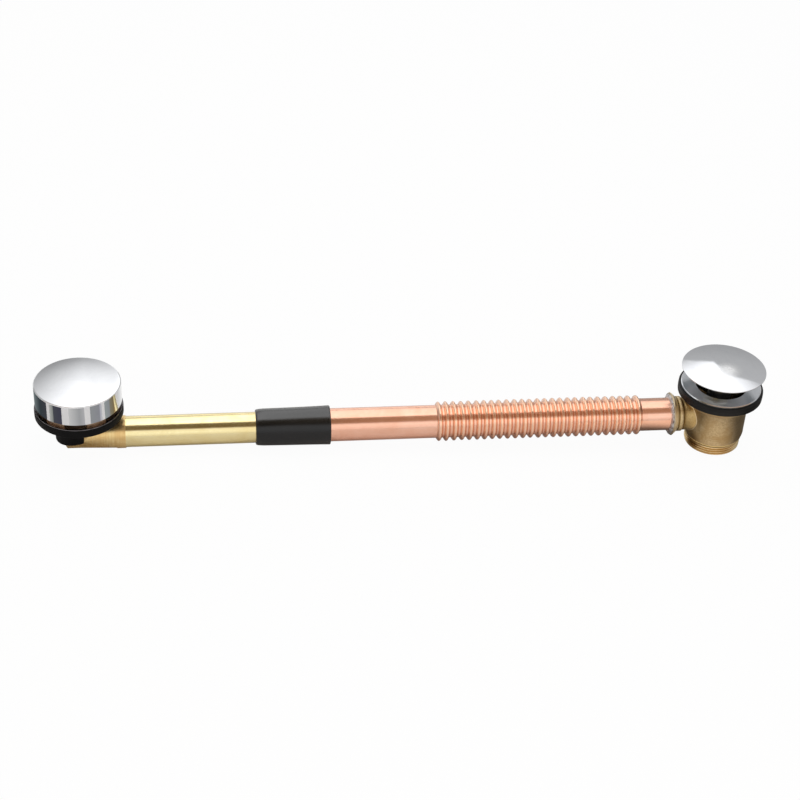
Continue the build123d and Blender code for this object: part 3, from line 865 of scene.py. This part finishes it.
# Studio
def flat_panel(name, corners, tint, faces=None):
    """A flat glowing panel that only reflections and shading see; the tint carries its strength.

    It is one face unless faces are given.
    """
    mesh = bpy.data.meshes.new(name)
    mesh.from_pydata(corners, [], [range(len(corners))] if faces is None else faces.tolist())
    panel = link_object(name, mesh)
    material = bpy.data.materials.new(name)
    material.use_nodes = True
    tree = material.node_tree
    glow = add(tree, "ShaderNodeEmission", color=(*tint, 1), strength=1.0)
    tree.links.new(glow.outputs[0], tree.nodes["Material Output"].inputs["Surface"])
    mesh.materials.append(material)
    panel.visible_camera = False
    panel.visible_shadow = False
    return panel


def overhead_panel():
    """A white sheet over the set, with a cut corner over the waste.

    Its strength is level(x) * front(y) * fade: brighter over the brass tube, a little brighter at the front
    edge, fading towards the rear and the left over the overflow head, and by y - x over the waste.
    """
    over_floor = 0.9
    outline = [(-1.0, -0.13), (1.0, -0.13), (1.0, 0.70), (0.56, 0.755), (0.41, 0.775), (0.347, 0.865),
               (0.367, 1.245), (0.2, 1.3), (0.0, 1.7), (-0.45, 1.7), (-0.5, 1.9), (-1.0, 1.9)]
    panel = flat_panel("overhead_panel", [(x, y, over_floor) for x, y in outline], (1, 1, 1))
    tree = panel.data.materials[0].node_tree
    place = tree.nodes.new("ShaderNodeTexCoord").outputs["Object"]
    parts = add(tree, "ShaderNodeSeparateXYZ", [(0, place)])
    x, y = parts.outputs["X"], parts.outputs["Y"]
    rear = add(tree, "ShaderNodeMath", [(0, y), (1, x)], operation="SUBTRACT").outputs[0]
    to_rear = ranged(tree, y, 1.0, 0.263, 0.54, 1.75)
    over_head = product(tree, to_rear, ranged(tree, x, 0.45, 1.0, -0.85, -0.62))
    over_waste = ranged(tree, rear, 1.0, 0.45, 0.82, 1.3)
    past_head = mixed(tree, ranged(tree, x, 0.0, 1.0, -0.44, -0.38), over_head, 1.0)
    past_pipe = mixed(tree, ranged(tree, x, 0.0, 1.0, -0.1, 0.05), 1.0, over_waste)
    fade = product(tree, past_head, past_pipe)
    front = ranged(tree, y, 1.0, 0.87, -0.1, 0.35)
    level = product(tree, ranged(tree, x, 2.1, 1.6, -0.40, -0.26), ranged(tree, x, 1.0, 0.5, 0.36, 0.62))
    strength = product(tree, product(tree, level, front), fade)
    tree.links.new(strength, tree.nodes["Emission"].inputs["Strength"])


def waste_card():
    """A card on the floor round the waste that only reflections see: bright in front, dark elsewhere.

    It is a disc cut off before the rings of the tube. Its strength follows the cosine of the bearing from the
    waste axis, counted from the bright side.
    """
    radius, cut = 0.2, -0.065
    x = np.maximum(radius * np.cos(turns(48)), cut)
    corners = np.stack([x, radius * np.sin(turns(48)), floor_height(x) + 0.3 * MM], axis=-1)
    card = flat_panel("waste_card", corners.tolist(), (1.0, 0.93, 0.84))
    card.visible_diffuse = False
    tree = card.data.materials[0].node_tree
    place = tree.nodes.new("ShaderNodeTexCoord").outputs["Object"]
    level = add(tree, "ShaderNodeMapping", [("Vector", place)], scale=(1, 1, 0))
    unit = add(tree, "ShaderNodeVectorMath", [(0, level.outputs[0])], operation="NORMALIZE")
    toward = add(tree, "ShaderNodeVectorMath", [(0, unit.outputs[0])], operation="DOT_PRODUCT")
    toward.inputs[1].default_value = (-0.156, -0.988, 0)
    strength = ranged(tree, toward.outputs["Value"], 0.13, 1.0, 0.42, 1.0)
    tree.links.new(strength, tree.nodes["Emission"].inputs["Strength"])


def wall_card(name, start, end, tint, last):
    """A card beside the cap that its wall mirrors between two bearings, counted from the cap's front.

    At a wall point of bearing b the mirrored view runs off towards the bearing 2b, so the card is swept by
    lines that start at the wall and run that way. Its colour runs evenly from the tint to the last one, and
    only its upper face shows.
    """
    columns = 24
    bearing = np.radians(np.linspace(start, end, columns))[None, :]
    run = np.array([1.0, 40.0])[:, None] * MM
    facing = np.radians(4.2)
    x = head_x + cap_radius * np.sin(facing + bearing) + run * np.sin(facing + 2 * bearing)
    y = -cap_radius * np.cos(facing + bearing) - run * np.cos(facing + 2 * bearing)
    rows = np.stack([x, y, np.full(x.shape, cap_low[2] - 2 * MM)], axis=-1)
    corner = np.arange(columns - 1)[:, None]
    card = flat_panel(name, rows.reshape(-1, 3).tolist(), tint, corner + [1, 0, columns, columns + 1])
    card.visible_diffuse = False
    share = np.tile(np.linspace(0, 1, columns), 2)[:, None]
    colours = np.array([*tint, 1]) * (1 - share) + np.array([*last, 1]) * share
    layer = card.data.color_attributes.new("tint", "FLOAT_COLOR", "POINT")
    layer.data.foreach_set("color", colours.ravel())
    tree = card.data.materials[0].node_tree
    painted = add(tree, "ShaderNodeVertexColor", layer_name="tint")
    tree.links.new(painted.outputs["Color"], tree.nodes["Emission"].inputs["Color"])
    side = tree.nodes.new("ShaderNodeNewGeometry").outputs["Backfacing"]
    clear = tree.nodes.new("ShaderNodeBsdfTransparent")
    glow = tree.nodes["Emission"].outputs[0]
    faces = add(tree, "ShaderNodeMixShader", [(0, side), (1, glow), (2, clear.outputs[0])])
    tree.links.new(faces.outputs[0], tree.nodes["Material Output"].inputs["Surface"])


# The set rests on the tail's near edge and on the elbow's collar, so the floor leans a little
floor_touch_near = (-23.1 * MM, 0.0)
floor_touch_far = (head_x + 29.5 * MM, elbow_low[2])
floor_slope = (floor_touch_far[1] - floor_touch_near[1]) / (floor_touch_far[0] - floor_touch_near[0])


def floor_height(x):
    return floor_slope * (x - floor_touch_near[0]) - 0.1 * MM


def pale_floor():
    """A large leaning floor that looks white and still takes the shadow; it is painted greyer beside the set,
    as shade for the metal to mirror.
    """
    reach = 6.0
    square = [(-reach, -reach), (reach, -reach), (reach, reach), (-reach, reach)]
    corners = [(x, y, floor_height(x)) for x, y in square]
    mesh = bpy.data.meshes.new("floor")
    mesh.from_pydata(corners, [], [(0, 1, 2, 3)])
    floor = link_object("floor", mesh)
    material = bpy.data.materials.new("floor")
    material.use_nodes = True
    tree = material.node_tree
    tree.nodes.remove(tree.nodes["Principled BSDF"])
    parts = add(tree, "ShaderNodeSeparateXYZ", [(0, tree.nodes.new("ShaderNodeTexCoord").outputs["Object"])])
    # Painted shade: the floor is greyer close to the set.
    grey = ranged(tree, parts.outputs["Y"], 0.80, 0.64, -0.45, -0.03)
    matte = add(tree, "ShaderNodeBsdfDiffuse", [("Color", grey)])
    glow = add(tree, "ShaderNodeEmission", color=(1, 1, 1, 1), strength=1.0)
    seen = tree.nodes.new("ShaderNodeLightPath").outputs["Is Camera Ray"]
    share = add(tree, "ShaderNodeMath", [(0, seen)], operation="MULTIPLY")
    share.inputs[1].default_value = 0.96
    both = add(tree, "ShaderNodeMixShader",
               [(0, share.outputs[0]), (1, matte.outputs[0]), (2, glow.outputs[0])])
    tree.links.new(both.outputs[0], tree.nodes["Material Output"].inputs["Surface"])
    mesh.materials.append(material)


def studio_world():
    """White for the camera; for light and reflections, bands by the angle over the pipe from front to back.

    The angle is atan2(z, -y) of the direction: 0 at the front horizon, 90 straight up and 180 at the back.
    The front is bright, a dark gap follows below the overhead panel, and the back fades to grey at its
    horizon. A band is its angle, its grey and its warmth.
    """
    world = bpy.data.worlds.new("studio")
    bpy.context.scene.world = world
    world.use_nodes = True
    tree = world.node_tree
    direction = tree.nodes.new("ShaderNodeTexCoord").outputs["Generated"]
    parts = add(tree, "ShaderNodeSeparateXYZ", [(0, direction)])
    front = add(tree, "ShaderNodeMath", [(0, parts.outputs["Y"])], operation="MULTIPLY")
    front.inputs[1].default_value = -1
    angle = add(tree, "ShaderNodeMath", [(0, parts.outputs["Z"]), (1, front.outputs[0])], operation="ARCTAN2")
    share = add(tree, "ShaderNodeMapRange", [("Value", angle.outputs[0])], from_min=-np.pi, from_max=np.pi)
    ramp = add(tree, "ShaderNodeValToRGB", [("Fac", share.outputs["Result"])])
    bands = [(-180, 0.40, 1), (-90, 0.5, 1), (0, 0.93, 1), (12, 1.1, 1), (24, 1.18, 1), (36, 1.2, 1),
             (44, 0.30, 1.4), (80, 0.30, 1.4), (84, 0.5, 1), (125, 0.55, 1), (150, 0.5, 1), (165, 0.42, 1),
             (180, 0.40, 1)]
    stops = ramp.color_ramp.elements
    while len(stops) < len(bands):
        stops.new(0.5)
    for stop, (degrees, grey, warmth) in zip(stops, bands):
        stop.position = (degrees + 180) / 360
        stop.color = (grey * warmth, grey, grey / warmth, 1)
    path = tree.nodes.new("ShaderNodeLightPath")
    white = tree.nodes.new("ShaderNodeMix")
    white.data_type = "RGBA"
    tree.links.new(path.outputs["Is Camera Ray"], white.inputs["Factor"])
    tree.links.new(ramp.outputs["Color"], white.inputs[6])
    white.inputs[7].default_value = (1, 1, 1, 1)
    tree.links.new(white.outputs[2], tree.nodes["Background"].inputs["Color"])


def soft_key():
    """A wide lamp from above that shades without showing in the metal."""
    light = bpy.data.lights.new("soft_key", "AREA")
    light.size = 1.4
    light.energy = 11
    lamp = bpy.data.objects.new("soft_key", light)
    lamp.matrix_world = Matrix.Translation((-0.25, -0.35, 1.6)) @ Matrix.Rotation(-0.2, 4, "X")
    lamp.visible_glossy = False
    bpy.context.scene.collection.objects.link(lamp)


def photo_camera():
    """The camera from the bearing, height and roll of the photograph."""
    bearing, height, roll = np.radians([-8.61, 36.02, 3.30])
    distance = 1.46994
    aim = np.array([-0.27669, 0, 0.05262])
    back = np.array([np.sin(bearing) * np.cos(height), -np.cos(bearing) * np.cos(height), np.sin(height)])
    level = np.array([np.cos(bearing), np.sin(bearing), 0])
    rise = np.cross(back, level)
    right = np.cos(roll) * level + np.sin(roll) * rise
    up = -np.sin(roll) * level + np.cos(roll) * rise
    data = bpy.data.cameras.new("camera")
    data.sensor_width = 36
    data.lens = 78.87
    data.clip_start = 0.01
    camera = bpy.data.objects.new("camera", data)
    matrix = np.eye(4)
    matrix[:3, :3] = np.stack([right, up, back], axis=1)
    matrix[:3, 3] = aim + distance * back
    camera.matrix_world = Matrix(matrix.tolist())
    bpy.context.scene.collection.objects.link(camera)
    bpy.context.scene.camera = camera


pale_floor()
studio_world()
soft_key()
photo_camera()
overhead_panel()
wall_cards = [
    ("slate_card", -91, -60, (0.26, 0.30, 0.30), (0.040, 0.052, 0.058)),
    ("deep_card", -60, -46.8, (0.040, 0.052, 0.058), (0.052, 0.054, 0.064)),
    ("dusk_card", -42, -36, (0.48, 0.48, 0.45), (0.24, 0.25, 0.23)),
    ("navy_card", -36, -23.6, (0.07, 0.073, 0.085), (0.058, 0.056, 0.080)),
    ("dim_card", -14, 0, (0.62, 0.61, 0.59), (0.38, 0.38, 0.38)),
    ("mist_card", 0, 6.5, (0.38, 0.38, 0.38), (0.48, 0.47, 0.475)),
    ("grey_card", 14, 27.5, (0.31, 0.32, 0.32), (0.29, 0.29, 0.31)),
    ("lilac_card", 27.5, 31, (0.44, 0.43, 0.48), (0.60, 0.60, 0.60)),
    ("pale_card", 35, 44, (0.33, 0.36, 0.35), (0.28, 0.29, 0.30)),
    ("olive_card", 44, 52.5, (0.24, 0.22, 0.16), (0.22, 0.17, 0.085)),
    ("snow_card", 63, 84, (0.70, 0.70, 0.69), (1.0, 0.99, 0.97)),
]
for name, start, end, tint, last in wall_cards:
    wall_card(name, start, end, tint, last)
waste_card()
glossy_cards = {
    "back_sheet": ((1.1, 1.1, 1.1), [(-3, 2.5, 0.02), (0.25, 2.5, 0.02), (0.25, 2.5, 1.05), (-3, 2.5, 1.05)]),
    "brass_card": ((0.16, 0.125, 0.075),
                   [(-0.6, -0.62, 0.6), (-0.287, -0.62, 0.6), (-0.287, -0.106, 0.6), (-0.6, -0.106, 0.6)]),
}
for name, (tint, corners) in glossy_cards.items():
    flat_panel(name, corners, tint).visible_diffuse = False

bpy.context.scene.view_settings.view_transform = "Standard"
